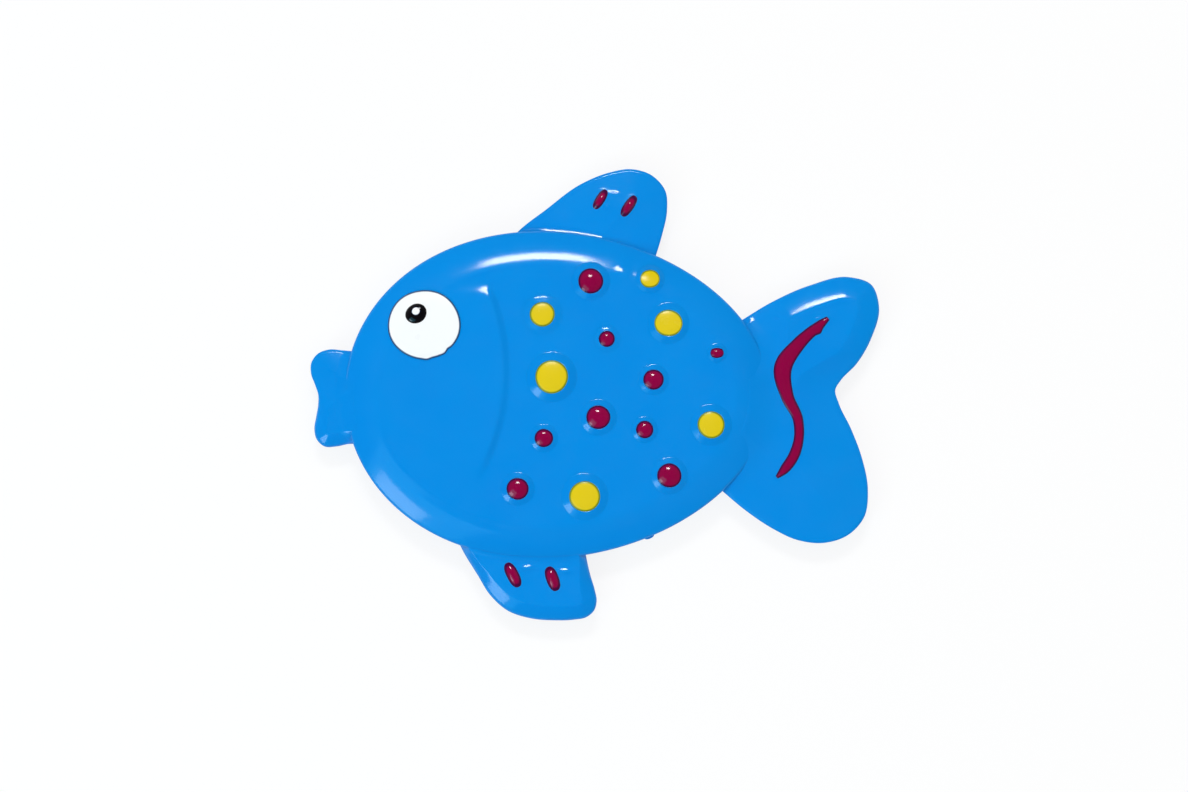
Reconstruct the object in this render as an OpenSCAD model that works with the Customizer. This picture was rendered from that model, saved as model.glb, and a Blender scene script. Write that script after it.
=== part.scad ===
// Squeaky bath fish: two soft vinyl halves welded along a thin rim around an air chamber, with a
// poured eye, spots, fin bars and tail stripe on the front, and a squeaker pressed into the back.
// The fish lies on its back: +X to the tail, +Y to the dorsal fin, +Z out of the decorated front.
// The origin is on the resting face, under the middle of the outline. Sizes are in millimetres.

/* [Body] */
// Length of the egg-shaped body, without lips and tail
body_l = 93.2; // [84:0.2:104]
// Height of the body, without fins
body_h = 71.6; // [64:0.2:80]
// Share by which the body narrows towards the tail
body_taper = 0.08; // [0:0.01:0.12]
// Width of the sloping margin round the body
margin_w = 7.6; // [6:0.2:10]
// Rise of the margin from its upright edge to its inner end
margin_rise = 2.2; // [1.6:0.1:4]
// Roundness of the margin, 1 for a plain bevel
margin_power = 1.5; // [1.3:0.1:2.2]
// Height of the upright edge that the margin starts from
edge_h = 1.8; // [1:0.1:2.4]
// Radius that rounds the upright edge into the margin
edge_r = 0.4; // [0.2:0.1:0.6]
// Further rise of the crown's middle
crown_bulge = 1.2; // [0.6:0.1:2]

/* [Shell] */
// Wall of the moulded vinyl
wall = 1.6; // [1.2:0.1:2]
// Thickness of each half's flange at the welded rim
flange_t = 1.2; // [0.8:0.1:1.8]
// Height of the back half's flange over the resting face
back_rise = 4.2; // [3.4:0.2:6]
// Width of the fold's foot on the flange
foot_w = 1.6; // [1.2:0.1:1.8]
// Width of the outer margin that folds when the crown is pressed in
fold_w = 2.6; // [2.2:0.1:3]
// Gap between the fold and the crown
fold_gap = 0.15; // [0.1:0.05:0.3]

/* [Fins] */
// Length of the dorsal fin along the body
dorsal_l = 33; // [28:0.5:38]
// Reach of the dorsal fin over its front root
dorsal_h = 14; // [11:0.2:17]
// Place of the dorsal fin's front root round the body, in degrees from the tail
dorsal_at = 101; // [92:1:110]
// Length of the belly fin along the body
belly_l = 29.7; // [25:0.1:34]
// Reach of the belly fin under its front root
belly_h = 16.4; // [13:0.2:19]
// Place of the belly fin's front root round the body, in degrees from the tail
belly_at = 243; // [236:1:250]
// Reach of the tail behind the body
tail_l = 24.1; // [20:0.1:29]
// Height of the tail from tip to tip
tail_h = 58.4; // [50:0.2:66]
// Reach of the lips in front of the body
lips_l = 7.6; // [6:0.2:9.4]
// Height of the lips
lips_h = 21.4; // [18:0.2:25]
// Height of the fins' pads over the flange
pad_h = 1.4; // [0.8:0.1:2]
// Width over which a pad rises from its fin's edge, as a share of the fin's reach
fin_slope = 0.11; // [0.07:0.01:0.12]
// Width of the step from a fin's edge to the foot of its pad
pad_step_w = 0.15; // [0.1:0.05:0.4]

/* [Eye] */
// Width of the white of the eye
eye_w = 16; // [12:0.2:17]
// Height of the white of the eye
eye_h = 15.2; // [12:0.2:16]
// Thickness of the white of the eye
eye_t = 0.8; // [0.5:0.1:1.2]
// Width of the pupil
pupil_w = 4.6; // [3:0.2:6]
// Height of the pupil
pupil_h = 4.2; // [3:0.2:6]
// Thickness of the pupil
pupil_t = 0.7; // [0.4:0.1:1]
// Width of the glint on the pupil
glint_w = 1.9; // [1:0.1:2.2]
// Height of the glint on the pupil
glint_h = 1.7; // [1:0.1:2.2]
// Thickness of the glint
glint_t = 0.25; // [0.15:0.05:0.4]
// Gap under a layer of the eye
seat_gap = 0.05; // [0.02:0.01:0.1]

/* [Spots] */
// Height of the nub that carries a spot, in spot diameters
nub_h = 0.11; // [0.08:0.01:0.18]
// Foot of a nub, in spot diameters
nub_spread = 1.45; // [1.3:0.05:1.6]
// Depth of the pocket that a spot fills
spot_depth = 0.8; // [0.5:0.1:1.1]
// Height of a spot's dome over its nub, in spot diameters
spot_dome = 0.1; // [0.06:0.01:0.16]
// Gap round a spot in its pocket
spot_gap = 0.05; // [0.02:0.01:0.1]
// Least width of vinyl between a spot and the crown's edge
spot_border = 0.35; // [0.2:0.05:1]

/* [Fin marks] */
// Depth of a bar's middle under the face of its fin
bar_sink = 0.4; // [0.2:0.1:0.6]
// Gap round a bar in its pocket
bar_gap = 0.05; // [0.02:0.01:0.1]
// Depth of the tail stripe in the tail
stripe_depth = 0.6; // [0.4:0.1:0.9]
// Height of the tail stripe over the tail
stripe_h = 0.5; // [0.3:0.1:0.9]
// Gap round the tail stripe in its groove
stripe_gap = 0.05; // [0.02:0.01:0.1]

/* [Squeaker] */
// Diameter of the squeaker's barrel
barrel_d = 15; // [14:0.2:18]
// Wall of the barrel
barrel_wall = 1.3; // [1:0.1:1.5]
// Diameter of the flange that closes the back
plug_flange_d = 20; // [19:0.5:24]
// Thickness of the flange
plug_flange_t = 1; // [0.8:0.1:1.4]
// Depth of the flange's outer face in the back
plug_recess = 0.2; // [0.1:0.1:0.6]
// Thickness of the back's boss over the flange
socket_t = 1.8; // [1.4:0.1:2.4]
// Wall of the boss outside the flange
socket_wall = 2.5; // [1.6:0.1:4]
// Gap between the squeaker and its socket
socket_gap = 0.05; // [0.02:0.01:0.1]
// Height of the snap bead that keeps the barrel in the boss
bead_h = 0.9; // [0.6:0.1:1.2]
// Width of the snap bead outside the barrel
bead_w = 0.5; // [0.3:0.1:0.8]
// Diameter of the vent through the flange
vent_d = 3; // [2:0.2:5]
// Height of the chamber between the flange and the reed seat
vent_chamber_h = 1.8; // [1.2:0.1:2.4]
// Width of the ledge that the reed seat lies on
ledge_w = 0.9; // [0.6:0.1:1.2]
// Thickness of the reed seat
seat_t = 1; // [0.8:0.1:1.4]
// Gap round the reed seat and the cap in the barrel
barrel_gap = 0.05; // [0.02:0.01:0.1]
// Length of the reed, as a share of the barrel's bore
reed_length = 0.74; // [0.64:0.01:0.76]
// Width of the reed, as a share of the barrel's bore
reed_width = 0.26; // [0.2:0.01:0.29]
// Thickness of the reed
reed_t = 0.2; // [0.15:0.05:0.3]
// Gap between the resting reed and its seat
reed_lift = 0.25; // [0.2:0.05:0.4]
// Overlap of the reed past each side of its slot
reed_lap = 0.5; // [0.3:0.1:0.8]
// Length of the reed's root in the clamp
root_l = 1.6; // [1.2:0.1:2]
// Gap round the reed's root in the clamp
root_gap = 0.2; // [0.15:0.05:0.3]
// Width of each leg of the clamp
clamp_leg = 0.7; // [0.5:0.1:0.8]
// Height of the clamp
clamp_h = 1.3; // [1.1:0.1:1.8]
// Length of the cap's spigot in the barrel
spigot_h = 0.8; // [0.6:0.1:1.2]
// Wall of the cap's spigot
spigot_wall = 1.1; // [0.8:0.1:1.3]
// Thickness of the cap
cap_t = 0.8; // [0.6:0.1:1.2]
// Diameter of each air hole in the cap
inlet_d = 2; // [1.2:0.1:2.4]
// Number of air holes in the cap
inlet_count = 4; // [3:1:5]

/* [Hidden] */
BLUE = "#0a8fe6";
YELLOW = "#e0cd05";
MAROON = "#8a0541";
$fn = 64;
egg_steps = 72;
fine_steps = 360;
curve_steps = 5;
cut = 0.5;
skim = 0.02;

// Middle of the rounded edge of the body: shares of its radius, inwards and down from the margin
edge_round = [0.3, 0.4];
// Shoulder of a pad's slope: shares of its width and height
pad_shoulder = [0.4, 0.75];
// Share of the eye's thickness that is lost at its edge, and how suddenly
eye_fall = 0.5;
eye_power = 6;
// Share by which a drop of the pupil or glint thins towards its edge
drop_fall = 0.9;

// Half sizes of the body and the heights of the rim
half_l = body_l / 2;
half_h = body_h / 2;
z_weld = back_rise + flange_t;
z_rim = z_weld + flange_t;
z_edge = z_rim + edge_h;
z_fin = z_rim + pad_h;
crown_inset = fold_w + fold_gap;

// Heights in the squeaker
z_plug = plug_recess;
z_plug_top = z_plug + plug_flange_t;
z_socket_top = z_plug_top + socket_t;
z_seat = z_plug_top + vent_chamber_h;
z_reed_face = z_seat + seat_t;
z_reed = z_reed_face + reed_lift;
z_clamp_top = z_reed_face + clamp_h;
z_cap = z_clamp_top + spigot_h;
barrel_bore = barrel_d - 2 * barrel_wall;
reed_l = reed_length * barrel_bore;
reed_w = reed_width * barrel_bore;
slot_w = reed_w - 2 * reed_lap;
slot_l = reed_l - root_l - 3 * reed_lap;
clamp_w = reed_w + 2 * root_gap + 2 * clamp_leg;
reed_root_x = -(reed_l + root_gap) / 2;

// Spots: share of the field along the body, share across it, diameter as a share of the body's height
yellow_spots = [
    [0.49, 0.86, 0.058], [-0.08, 0.58, 0.076], [0.6, 0.55, 0.083],
    [-0.03, 0.13, 0.101], [0.83, -0.24, 0.083], [0.15, -0.77, 0.094]
];
maroon_spots = [
    [0.18, 0.84, 0.077], [0.26, 0.4, 0.049], [0.83, 0.31, 0.039],
    [0.51, 0.11, 0.062], [0.22, -0.17, 0.073], [-0.07, -0.31, 0.056],
    [0.46, -0.26, 0.053], [-0.21, -0.67, 0.067], [0.6, -0.62, 0.074]
];

// Eye: share of the field along and across, then the steps from eye to pupil and pupil to glint
eye_share = [-0.82, 0.58];
pupil_step = [-1.75, 2.4];
glint_step = [0, 0.5];

// Fin outlines: shares of the fin's length and height from its root, starting and ending in the body
dorsal_knots = [
    [-0.1, -0.25], [0.03, 0.07], [0.18, 0.34], [0.43, 0.77], [0.62, 0.95], [0.76, 1],
    [0.9, 0.9], [0.99, 0.65], [1, 0.35], [0.965, -0.05], [0.92, -0.4], [0.86, -0.8]
];
belly_knots = [
    [-0.06, 0.25], [0, -0.02], [0.125, -0.4], [0.215, -0.66], [0.345, -0.87], [0.52, -0.975], [0.69, -1],
    [0.83, -0.992], [0.93, -0.955], [0.985, -0.865], [1.003, -0.74], [0.99, -0.6], [0.957, -0.4],
    [0.92, -0.1], [0.88, 0.3]
];
tail_knots = [
    [-0.6, 0.2], [-0.26, 0.28], [0, 0.345], [0.37, 0.413], [0.72, 0.444], [0.93, 0.415], [1, 0.33],
    [0.93, 0.215], [0.79, 0.115], [0.65, 0.055], [0.6, 0.02], [0.63, -0.03], [0.74, -0.125],
    [0.84, -0.235], [0.895, -0.355], [0.86, -0.46], [0.72, -0.525], [0.5, -0.556], [0.25, -0.545],
    [0.03, -0.503], [-0.2, -0.44], [-0.42, -0.365], [-0.7, -0.26]
];
lips_knots = [
    [0.5, 0.44], [-0.1, 0.459], [-0.46, 0.467], [-0.8, 0.422], [-0.98, 0.332], [-0.99, 0.222],
    [-0.87, 0.102], [-0.78, 0.002], [-0.78, -0.098], [-0.84, -0.228], [-0.89, -0.348],
    [-0.82, -0.458], [-0.6, -0.528], [-0.25, -0.528], [0.1, -0.503], [0.5, -0.508]
];

// Fin bars: shares of the fin's length and reach, half length and half width as shares of its reach, and
// the lean of the top to the tail
dorsal_bars = [[0.555, 0.52, 0.175, 0.078, 32], [0.745, 0.413, 0.19, 0.086, 34]];
belly_bars = [[0.384, -0.392, 0.18, 0.082, -27], [0.677, -0.443, 0.17, 0.085, -20]];

// Tail stripe: shares of the tail's length and height, width as a share of the tail's length
stripe_knots = [
    [0.535, 0.286, 0.025], [0.423, 0.252, 0.083], [0.261, 0.19, 0.116], [0.12, 0.103, 0.154],
    [0.158, -0.009, 0.108], [0.261, -0.1, 0.079], [0.257, -0.171, 0.075], [0.216, -0.231, 0.075],
    [0.062, -0.309, 0.017]
];

// Egg-shaped body: point at an angle from the tail, moved in from the outline by an inset
function egg_point(angle, inset) =
    let (
        high = half_h * (1 - body_taper * cos(angle)),
        along = -half_l * sin(angle),
        up = high * cos(angle) + half_h * body_taper * sin(angle) * sin(angle),
        out = [up, -along] / norm([up, -along])
    )
    [half_l * cos(angle), high * sin(angle)] - inset * out;

function egg_ring(inset, steps = egg_steps) = [for (i = [0 : steps - 1]) egg_point(360 * i / steps, inset)];

// Square of the share of the way from the body's middle to its outline
function egg_share(p) =
    pow(p.x / half_l, 2) + pow(p.y / (half_h * (1 - body_taper * p.x / half_l)), 2);

// Height of the front's outer face at a point that lies an inset inside the outline
function face_height(p, inset) =
    z_edge + margin_rise * (1 - pow(1 - min(inset / margin_w, 1), margin_power))
    + crown_bulge * (1 - egg_share(p));

// The same, with the inset found from the nearest point of the outline
fine_outline = egg_ring(0, fine_steps);
function face_at(p) = face_height(p, min([for (q = fine_outline) norm(p - q)]));

// Point of the crown's field for a disc of a given radius, so that the disc stays on the crown
function field_point(share, radius) =
    let (inset = crown_inset + spot_border + radius)
    [share.x * (half_l - inset), share.y * (half_h - inset) * (1 - body_taper * share.x)];

// Smooth curve through points, with end slopes that are the chord-weighted means of the neighbours
function unit(v) = v / norm(v);
function slope(p, i) =
    i == 0 ? unit(p[1] - p[0])
    : i == len(p) - 1 ? unit(p[i] - p[i - 1])
    : let (u = norm(p[i] - p[i - 1]), v = norm(p[i + 1] - p[i]))
      (unit(p[i] - p[i - 1]) * v + unit(p[i + 1] - p[i]) * u) / (u + v);
function cubic(p, i, t) =
    let (l = norm(p[i + 1] - p[i]))
    p[i] * (2 * pow(t, 3) - 3 * t * t + 1) + slope(p, i) * l * (pow(t, 3) - 2 * t * t + t)
    + p[i + 1] * (3 * t * t - 2 * pow(t, 3)) + slope(p, i + 1) * l * (pow(t, 3) - t * t);
function curve(p) =
    concat([for (i = [0 : len(p) - 2], k = [0 : curve_steps - 1]) cubic(p, i, k / curve_steps)],
           [p[len(p) - 1]]);

// Outlines of the fins, each a closed ring that runs anticlockwise
function scaled(knots, root, size) = [for (k = knots) root + [k.x * size.x, k.y * size.y]];
function reversed(p) = [for (i = [len(p) - 1 : -1 : 0]) p[i]];
dorsal_root = egg_point(dorsal_at, 0);
belly_root = egg_point(belly_at, 0);
tail_root = [half_l, 0];
lips_root = [-half_l, 0];
dorsal_ring = reversed(curve(scaled(dorsal_knots, dorsal_root, [dorsal_l, dorsal_h])));
belly_ring = curve(scaled(belly_knots, belly_root, [belly_l, belly_h]));
tail_ring = reversed(curve(scaled(tail_knots, tail_root, [tail_l, tail_h])));
lips_ring = curve(scaled(lips_knots, lips_root, [lips_l, lips_h]));
fin_rings = [dorsal_ring, belly_ring, tail_ring, lips_ring];

// Middle of the whole outline, which is brought over the origin
whole_outline = concat(egg_ring(0), dorsal_ring, belly_ring, tail_ring, lips_ring);
xs = [for (p = whole_outline) p.x];
ys = [for (p = whole_outline) p.y];
outline_middle = [(min(xs) + max(xs)) / 2, (min(ys) + max(ys)) / 2];

function spot_name(kind, i) = str(kind, "_spot_", i + 1);

// Solid through closed sections that stand along a path, with a flat face at each end
module run(sections) {
    n = len(sections);
    m = len(sections[0]);
    last = (n - 1) * m;
    sides = [
        for (i = [0 : n - 2], k = [0 : m - 1])
            let (a = i * m, b = a + m, l = (k + 1) % m)
            each [[a + k, a + l, b + l], [a + k, b + l, b + k]]
    ];
    ends = [for (k = [1 : m - 2]) each [[0, k + 1, k], [last, last + k, last + k + 1]]];
    polyhedron([for (s = sections) each s], concat(sides, ends));
}

// Ring-shaped solid through closed sections that stand round the body
module hoop(sections) {
    n = len(sections);
    m = len(sections[0]);
    faces = [
        for (i = [0 : n - 1], k = [0 : m - 1])
            let (a = i * m, b = ((i + 1) % n) * m, l = (k + 1) % m)
            each [[a + k, a + l, b + l], [a + k, b + l, b + k]]
    ];
    polyhedron([for (s = sections) each s], faces);
}

// Disc-shaped solid: each section runs from the low middle out, and back in to the high middle
module disc(low, sections, high) {
    n = len(sections);
    m = len(sections[0]);
    top = n * m + 1;
    faces = [
        for (i = [0 : n - 1])
            let (a = 1 + i * m, b = 1 + ((i + 1) % n) * m)
            each concat(
                [[0, a, b], [top, b + m - 1, a + m - 1]],
                [for (k = [0 : m - 2]) each [[a + k, a + k + 1, b + k + 1], [a + k, b + k + 1, b + k]]]
            )
    ];
    polyhedron(concat([low], [for (s = sections) each s], [high]), faces);
}

// Oval disc that lies on a curved face: low and high give the heights of its two sides at a point
module draped_disc(middle, size, low, high) {
    steps = 32;
    shares = [0.3, 0.6, 0.8, 0.92, 1];
    spoke = function(angle, share) middle + share / 2 * [size.x * cos(angle), size.y * sin(angle)];
    lift = function(p, height) [p.x, p.y, height(p)];
    sections = [
        for (i = [0 : steps - 1])
            let (row = [for (s = shares) spoke(360 * i / steps, s)])
            concat([for (p = row) lift(p, low)], [for (p = reversed(row)) lift(p, high)])
    ];
    disc(lift(middle, low), sections, lift(middle, high));
}

module egg(inset) {
    polygon(egg_ring(inset));
}

module fish_outline() {
    egg(0);
    for (ring = fin_rings) polygon(ring);
}

module rim_flange() {
    linear_extrude(flange_t)
        difference() {
            fish_outline();
            egg(foot_w);
        }
}

// Point of a fin's outline, moved in by an inset. The inset fades out on the first and last stretch, which
// lie inside the body.
function fin_point(ring, i, inset) =
    let (
        n = len(ring),
        t = unit(ring[min(i + 1, n - 1)] - ring[max(i - 1, 0)]),
        fade = inset > 0 ? min(1, min(i, n - 1 - i) / curve_steps) : 1
    )
    ring[i] + inset * fade * [-t.y, t.x];

// Point at a height on the line through two points of a section
function beyond(a, b, z) = a + (b - a) * (z - a.y) / (b.y - a.y);

// Plate inside a fin's outline, up to the body, whose upper edge is cut to a rounded slope
module fin_pad(ring, reach) {
    slope_w = fin_slope * reach;
    z_low = z_weld + flange_t / 2;
    z_toe = z_rim - skim;
    z_over = z_fin + skim;
    shoulder = [pad_step_w + pad_shoulder.x * slope_w, z_rim + pad_shoulder.y * pad_h];
    toe = beyond(shoulder, [pad_step_w, z_rim], z_toe);
    brow = beyond(shoulder, [pad_step_w + slope_w, z_fin], z_over);
    section = [[-pad_step_w, z_over], brow, shoulder, toe, [-pad_step_w, z_toe]];
    steps = [0 : len(ring) - 1];
    lifted = function(i, s) let (p = fin_point(ring, i, s.x)) [p.x, p.y, s.y];
    difference() {
        translate([0, 0, z_low])
            linear_extrude(z_fin - z_low)
                difference() {
                    polygon([for (i = steps) fin_point(ring, i, pad_step_w / 2)]);
                    egg(0);
                }
        run([for (i = steps) [for (s = section) lifted(i, s)]]);
    }
}

module fin_pads() {
    fin_pad(dorsal_ring, dorsal_h);
    fin_pad(belly_ring, belly_h);
    fin_pad(tail_ring, tail_l);
    fin_pad(lips_ring, lips_l);
}

// Bar with rounded ends: an oval turned about its long axis, sunk into the fin's face
module bar_shape(bar, root, size, grow) {
    steps = 10;
    long = bar[2] * size.y + grow;
    wide = bar[3] * size.y + grow;
    half_oval = [for (i = [0 : steps]) [wide * sin(180 * i / steps), long * cos(180 * i / steps)]];
    middle = root + [bar.x * size.x, bar.y * size.y];
    translate([middle.x, middle.y, z_fin - bar_sink])
        rotate([0, 0, -bar[4]])
            rotate([90, 0, 0])
                rotate_extrude()
                    polygon(half_oval);
}

module dorsal_bar(i, grow = 0) {
    color(MAROON) bar_shape(dorsal_bars[i], dorsal_root, [dorsal_l, dorsal_h], grow);
}

module belly_bar(i, grow = 0) {
    color(MAROON) bar_shape(belly_bars[i], belly_root, [belly_l, belly_h], grow);
}

// Band of changing width along the stripe's middle line
module stripe_band(grow) {
    knots = [for (k = stripe_knots) [tail_root.x + k.x * tail_l, k.y * tail_h, k.z * tail_l]];
    path = curve(knots);
    n = len(path);
    side = function(i, sign)
        let (
            t = path[min(i + 1, n - 1)] - path[max(i - 1, 0)],
            across = unit([-t.y, t.x])
        )
        [path[i].x, path[i].y] + sign * (path[i].z / 2 + grow) * across;
    polygon(concat([for (i = [0 : n - 1]) side(i, -1)], [for (i = [n - 1 : -1 : 0]) side(i, 1)]));
}

module tail_stripe(grow = 0) {
    color(MAROON)
        translate([0, 0, z_fin - stripe_depth])
            linear_extrude(stripe_depth + stripe_h)
                stripe_band(grow);
}

module front_rim() {
    color(BLUE)
        difference() {
            union() {
                translate([0, 0, z_weld]) rim_flange();
                fin_pads();
            }
            for (i = [0, 1]) {
                dorsal_bar(i, bar_gap);
                belly_bar(i, bar_gap);
            }
            tail_stripe(stripe_gap);
        }
}

// Section of the fold at an angle: up its outer face, then down its inner face to the foot
function fold_section(angle) =
    let (
        level = function(inset, z) let (p = egg_point(angle, inset)) [p.x, p.y, z],
        face = function(inset, drop)
            let (p = egg_point(angle, inset))
            [p.x, p.y, face_height(p, inset) - drop],
        middle = (edge_r + fold_w) / 2
    )
    [
        level(0, z_rim), level(0, z_edge - edge_r), face(edge_r * edge_round.x, edge_r * edge_round.y),
        face(edge_r, 0), face(middle, 0), face(fold_w, 0), face(fold_w, wall), level(foot_w, z_rim)
    ];

module front_fold() {
    color(BLUE) hoop([for (i = [0 : egg_steps - 1]) fold_section(360 * i / egg_steps)]);
}

// Section of the crown at an angle: its inner face from the middle out, then its outer face back in
function crown_section(angle) =
    let (
        margin_steps = 4,
        inner_shares = [0.3, 0.6, 0.85],
        rim = egg_point(angle, margin_w),
        flat = [for (s = inner_shares) let (p = s * rim) [p.x, p.y, face_height(p, margin_w)]],
        slope = [
            for (k = [margin_steps : -1 : 0])
                let (
                    inset = crown_inset + (margin_w - crown_inset) * k / margin_steps,
                    p = egg_point(angle, inset)
                )
                [p.x, p.y, face_height(p, inset)]
        ],
        outer = concat(flat, slope)
    )
    concat([for (p = outer) p - [0, 0, wall]], reversed(outer));

module crown_plate() {
    top = [0, 0, face_height([0, 0], margin_w)];
    disc(top - [0, 0, wall], [for (i = [0 : egg_steps - 1]) crown_section(360 * i / egg_steps)], top);
}

function spot_d(spot) = spot.z * body_h;

module at_spot(spot) {
    p = field_point(spot, spot_d(spot) / 2);
    translate([p.x, p.y, face_at(p)]) children();
}

module nub(spot) {
    root = wall / 2;
    d = spot_d(spot);
    at_spot(spot)
        translate([0, 0, -root])
            cylinder(d1 = d * nub_spread, d2 = d * (1 + nub_spread) / 2, h = root + nub_h * d);
}

module spot_pocket(spot) {
    d = spot_d(spot);
    at_spot(spot)
        translate([0, 0, nub_h * d - spot_depth])
            cylinder(d = d + 2 * spot_gap, h = spot_depth + cut);
}

// Poured spot: a short cylinder in its pocket with a dome over the nub
module spot_body(spot) {
    d = spot_d(spot);
    dome = spot_dome * d;
    ball = (d * d / 4 + dome * dome) / (2 * dome);
    at_spot(spot)
        translate([0, 0, nub_h * d])
            intersection() {
                translate([0, 0, -spot_depth]) cylinder(d = d, h = spot_depth + dome + cut);
                union() {
                    translate([0, 0, dome - ball]) sphere(ball);
                    translate([0, 0, -spot_depth]) cylinder(d = d, h = spot_depth);
                }
            }
}

module front_crown() {
    spots = concat(yellow_spots, maroon_spots);
    reach = z_edge + margin_rise + crown_bulge;
    color(BLUE)
        difference() {
            union() {
                crown_plate();
                intersection() {
                    for (spot = spots) nub(spot);
                    translate([0, 0, z_weld]) linear_extrude(reach) egg(crown_inset);
                }
            }
            for (spot = spots) spot_pocket(spot);
        }
}

// Heights of the eye's layers over the crown
eye_middle = field_point(eye_share, eye_w / 2);
pupil_middle = eye_middle + pupil_step;
glint_middle = pupil_middle + glint_step;
function oval_share(p, middle, size) =
    norm([2 * (p.x - middle.x) / size.x, 2 * (p.y - middle.y) / size.y]);
function drop_height(p, middle, size, thickness) =
    let (share = min(oval_share(p, middle, size), 1))
    thickness * sqrt(1 - drop_fall * share * share);
function eye_top(p) =
    face_at(p) + eye_t * (1 - eye_fall * pow(oval_share(p, eye_middle, [eye_w, eye_h]), eye_power));
function pupil_top(p) =
    eye_top(p) + seat_gap + drop_height(p, pupil_middle, [pupil_w, pupil_h], pupil_t);
function glint_top(p) =
    pupil_top(p) + seat_gap + drop_height(p, glint_middle, [glint_w, glint_h], glint_t);

module eye_white() {
    low = function(p) face_at(p) + seat_gap;
    high = function(p) eye_top(p);
    color("white") draped_disc(eye_middle, [eye_w, eye_h], low, high);
}

module eye_pupil() {
    low = function(p) eye_top(p) + seat_gap;
    high = function(p) pupil_top(p);
    color("black") draped_disc(pupil_middle, [pupil_w, pupil_h], low, high);
}

module eye_glint() {
    low = function(p) pupil_top(p) + seat_gap;
    high = function(p) glint_top(p);
    color("white") draped_disc(glint_middle, [glint_w, glint_h], low, high);
}

// Section of the back's dish at an angle: its outer face from the floor out, then its inner face back
function back_section(angle) =
    let (
        steps = 6,
        outer = [
            for (k = [0 : steps])
                let (inset = margin_w * (1 - k / steps), p = egg_point(angle, inset))
                [p.x, p.y, back_rise * pow(1 - inset / margin_w, margin_power)]
        ],
        inner = [
            for (k = [0 : steps])
                let (share = k / steps, p = egg_point(angle, foot_w + (margin_w - foot_w) * share))
                [p.x, p.y, wall + (back_rise - wall) * pow(1 - share, margin_power)]
        ]
    )
    concat(outer, inner);

module back_shell() {
    flange_hole_d = plug_flange_d + 2 * socket_gap;
    color(BLUE)
        difference() {
            union() {
                translate([0, 0, back_rise]) rim_flange();
                hoop([for (i = [0 : egg_steps - 1]) back_section(360 * i / egg_steps)]);
                linear_extrude(wall) egg(margin_w);
                cylinder(d = flange_hole_d + 2 * socket_wall, h = z_socket_top);
            }
            translate([0, 0, -cut]) cylinder(d = flange_hole_d, h = z_plug_top + cut);
            translate([0, 0, -cut]) cylinder(d = barrel_d + 2 * socket_gap, h = z_socket_top + 2 * cut);
        }
}

module squeaker_plug() {
    z_bead = z_socket_top + socket_gap;
    color("gainsboro")
        difference() {
            union() {
                translate([0, 0, z_plug]) cylinder(d = plug_flange_d, h = plug_flange_t);
                translate([0, 0, z_plug]) cylinder(d = barrel_d, h = z_cap - z_plug);
                translate([0, 0, z_bead])
                    cylinder(d1 = barrel_d + 2 * bead_w, d2 = barrel_d, h = bead_h);
            }
            translate([0, 0, z_plug - cut]) cylinder(d = vent_d, h = plug_flange_t + 2 * cut);
            translate([0, 0, z_plug_top]) cylinder(d = barrel_bore - 2 * ledge_w, h = z_cap);
            translate([0, 0, z_seat]) cylinder(d = barrel_bore, h = z_cap);
        }
}

module reed_seat() {
    slot_x = reed_root_x + root_l + reed_lap;
    color("ivory")
        translate([0, 0, z_seat])
            difference() {
                cylinder(d = barrel_bore - 2 * barrel_gap, h = seat_t);
                translate([slot_x, -slot_w / 2, -cut]) cube([slot_l, slot_w, seat_t + 2 * cut]);
            }
}

module reed() {
    color("silver")
        translate([reed_root_x, -reed_w / 2, z_reed])
            cube([reed_l, reed_w, reed_t]);
}

// Bridge over the reed's root: two legs on the seat and a top, open towards the tongue
module reed_clamp() {
    groove_w = reed_w + 2 * root_gap;
    groove_h = reed_lift + reed_t + root_gap;
    block_l = root_l + root_gap;
    color("ivory")
        translate([reed_root_x - root_gap, 0, z_reed_face])
            difference() {
                translate([0, -clamp_w / 2, 0]) cube([block_l, clamp_w, clamp_h]);
                translate([-cut, -groove_w / 2, -cut]) cube([block_l + 2 * cut, groove_w, groove_h + cut]);
            }
}

module squeaker_cap() {
    spigot_d = barrel_bore - 2 * barrel_gap;
    spigot_bore = spigot_d - 2 * spigot_wall;
    inlet_r = spigot_bore / 4;
    color("gainsboro")
        difference() {
            union() {
                translate([0, 0, z_cap]) cylinder(d = barrel_d, h = cap_t);
                translate([0, 0, z_clamp_top])
                    difference() {
                        cylinder(d = spigot_d, h = spigot_h);
                        translate([0, 0, -cut]) cylinder(d = spigot_bore, h = spigot_h + cut);
                    }
            }
            for (i = [0 : inlet_count - 1])
                rotate([0, 0, 360 * i / inlet_count])
                    translate([inlet_r, 0, z_cap - cut])
                        cylinder(d = inlet_d, h = cap_t + 2 * cut);
        }
}

module yellow_spot(i) {
    color(YELLOW) spot_body(yellow_spots[i]);
}

module maroon_spot(i) {
    color(MAROON) spot_body(maroon_spots[i]);
}

// Brings the middle of the outline over the origin
module placed() {
    translate([-outline_middle.x, -outline_middle.y, 0]) children();
}

placed() front_rim();
placed() front_fold();
placed() front_crown();
placed() back_shell();
placed() squeaker_plug();
placed() reed_seat();
placed() reed();
placed() reed_clamp();
placed() squeaker_cap();
placed() eye_white();
placed() eye_pupil();
placed() eye_glint();
placed() tail_stripe();
placed() dorsal_bar(0);  // dorsal_bar_1
placed() dorsal_bar(1);  // dorsal_bar_2
placed() belly_bar(0);  // belly_bar_1
placed() belly_bar(1);  // belly_bar_2
for (i = [0 : len(yellow_spots) - 1])
    placed() yellow_spot(i);
for (i = [0 : len(maroon_spots) - 1])
    placed() maroon_spot(i);
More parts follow.
